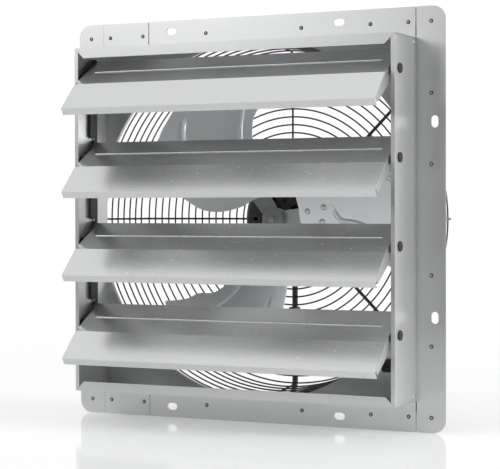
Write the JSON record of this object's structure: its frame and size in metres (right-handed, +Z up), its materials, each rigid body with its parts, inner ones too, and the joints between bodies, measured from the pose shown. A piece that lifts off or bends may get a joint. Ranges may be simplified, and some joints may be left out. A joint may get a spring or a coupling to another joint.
{
  "type": "shutter exhaust fan",
  "caption": "Square wall exhaust fan: flanged box with linked gravity louvres in front of a round fan opening, sickle blades and a motor carried by a domed wire guard.",
  "frame": {"origin": "middle of the flange's front face, the face that lies on the wall", "axes": "+X right as seen from the shutter side, +Y back towards the motor, +Z up"},
  "size_m": [0.49, 0.2509, 0.49],
  "materials": {
    "left_wall": "satin light grey coated sheet",
    "right_wall": "satin light grey coated sheet",
    "top_wall": "satin light grey coated sheet",
    "bottom_wall": "satin light grey coated sheet",
    "wall_rivets": "dull aluminium",
    "flange_left": "satin light grey coated sheet",
    "flange_right": "satin light grey coated sheet",
    "flange_top": "satin light grey coated sheet",
    "flange_bottom": "satin light grey coated sheet",
    "splice_plates": "satin light grey coated sheet",
    "flange_rivets": "dull aluminium",
    "fan_panel": "satin grey coated sheet",
    "left_bushes": "moulded black",
    "right_bushes": "moulded black",
    "tie_bar": "moulded black",
    "side_rings": "black coated wire",
    "rear_rings": "black coated wire",
    "guard_spokes": "black coated wire",
    "guard_arms": "black coated wire",
    "guard_screws": "zinc plated",
    "motor_bracket": "black coated plate",
    "bracket_screws": "zinc plated",
    "motor_front_cover": "black coated drawn sheet",
    "motor_rear_cover": "black coated drawn sheet",
    "motor_bolts": "zinc plated",
    "stator_core": "stacked sheets",
    "windings": "enamelled copper",
    "front_bearing": "ground steel",
    "rear_bearing": "ground steel",
    "rotor_core": "turned steel",
    "shaft": "ground steel",
    "blade_hub": "grey coated steel",
    "blade_1": "satin grey coated sheet",
    "blade_2": "satin grey coated sheet",
    "blade_3": "satin grey coated sheet",
    "blade_rivets": "dull aluminium",
    "hub_screw": "blackened steel",
    "cable_gland": "moulded black",
    "gland_nut": "moulded black",
    "motor_lead": "black sheath",
    "lead_ties": "moulded black",
    "louvre_1": "satin light grey coated sheet",
    "pivot_pins_1": "zinc plated",
    "crank_1": "moulded black",
    "bar_clip_1": "zinc plated",
    "louvre_2": "satin light grey coated sheet",
    "pivot_pins_2": "zinc plated",
    "crank_2": "moulded black",
    "bar_clip_2": "zinc plated",
    "louvre_3": "satin light grey coated sheet",
    "pivot_pins_3": "zinc plated",
    "crank_3": "moulded black",
    "bar_clip_3": "zinc plated",
    "louvre_4": "satin light grey coated sheet",
    "pivot_pins_4": "zinc plated",
    "crank_4": "moulded black",
    "bar_clip_4": "zinc plated"
  },
  "bodies": {
    "housing": {"left_wall": "left_wall", "right_wall": "right_wall", "top_wall": "top_wall", "bottom_wall": "bottom_wall", "wall_rivets": "wall_rivets", "flange_left": "flange_left", "flange_right": "flange_right", "flange_top": "flange_top", "flange_bottom": "flange_bottom", "splice_plates": "splice_plates", "flange_rivets": "flange_rivets", "fan_panel": "fan_panel", "left_bushes": "left_bushes", "right_bushes": "right_bushes", "side_rings": "side_rings", "rear_rings": "rear_rings", "guard_spokes": "guard_spokes", "guard_arms": "guard_arms", "guard_screws": "guard_screws", "motor_bracket": "motor_bracket", "bracket_screws": "bracket_screws", "motor_front_cover": "motor_front_cover", "motor_rear_cover": "motor_rear_cover", "motor_bolts": "motor_bolts", "stator_core": "stator_core", "windings": "windings", "front_bearing": "front_bearing", "rear_bearing": "rear_bearing", "cable_gland": "cable_gland", "gland_nut": "gland_nut", "motor_lead": "motor_lead", "lead_ties": "lead_ties"},
    "louvre_body_1": {"louvre_1": "louvre_1", "pivot_pins_1": "pivot_pins_1", "crank_1": "crank_1", "bar_clip_1": "bar_clip_1"},
    "louvre_body_2": {"louvre_2": "louvre_2", "pivot_pins_2": "pivot_pins_2", "crank_2": "crank_2", "bar_clip_2": "bar_clip_2"},
    "louvre_body_3": {"louvre_3": "louvre_3", "pivot_pins_3": "pivot_pins_3", "crank_3": "crank_3", "bar_clip_3": "bar_clip_3"},
    "louvre_body_4": {"louvre_4": "louvre_4", "pivot_pins_4": "pivot_pins_4", "crank_4": "crank_4", "bar_clip_4": "bar_clip_4"},
    "tie_bar_body": {"tie_bar": "tie_bar"},
    "fan_wheel": {"shaft": "shaft", "rotor_core": "rotor_core", "blade_hub": "blade_hub", "blade_1": "blade_1", "blade_2": "blade_2", "blade_3": "blade_3", "blade_rivets": "blade_rivets", "hub_screw": "hub_screw"}
  },
  "joints": [
    {"name": "louvre_1_pivot", "type": "hinge", "parent": "housing", "child": "louvre_body_1", "pos_m": [0, -0.0538, 0.1705], "axis": [1, 0, 0], "range_deg": [-20, 45]},
    {"name": "louvre_2_pivot", "type": "hinge", "parent": "housing", "child": "louvre_body_2", "pos_m": [0, -0.0538, 0.0705], "axis": [1, 0, 0], "range_deg": [-20, 45]},
    {"name": "louvre_3_pivot", "type": "hinge", "parent": "housing", "child": "louvre_body_3", "pos_m": [0, -0.0538, -0.0295], "axis": [1, 0, 0], "range_deg": [-20, 45]},
    {"name": "louvre_4_pivot", "type": "hinge", "parent": "housing", "child": "louvre_body_4", "pos_m": [0, -0.0538, -0.1295], "axis": [1, 0, 0], "range_deg": [-20, 45]},
    {"name": "tie_bar_pivot", "type": "hinge", "parent": "louvre_body_1", "child": "tie_bar_body", "pos_m": [-0.20585, -0.03047, 0.19383], "axis": [1, 0, 0], "range_deg": [-45, 20]},
    {"name": "fan_spin", "type": "hinge", "parent": "housing", "child": "fan_wheel", "pos_m": [0, 0.06, 0], "axis": [0, 1, 0], "continuous": true}
  ],
  "couplings": [
    {"joint": "louvre_2_pivot", "follows": "louvre_1_pivot", "ratio": 1},
    {"joint": "louvre_3_pivot", "follows": "louvre_1_pivot", "ratio": 1},
    {"joint": "louvre_4_pivot", "follows": "louvre_1_pivot", "ratio": 1},
    {"joint": "tie_bar_pivot", "follows": "louvre_1_pivot", "ratio": -1}
  ]
}
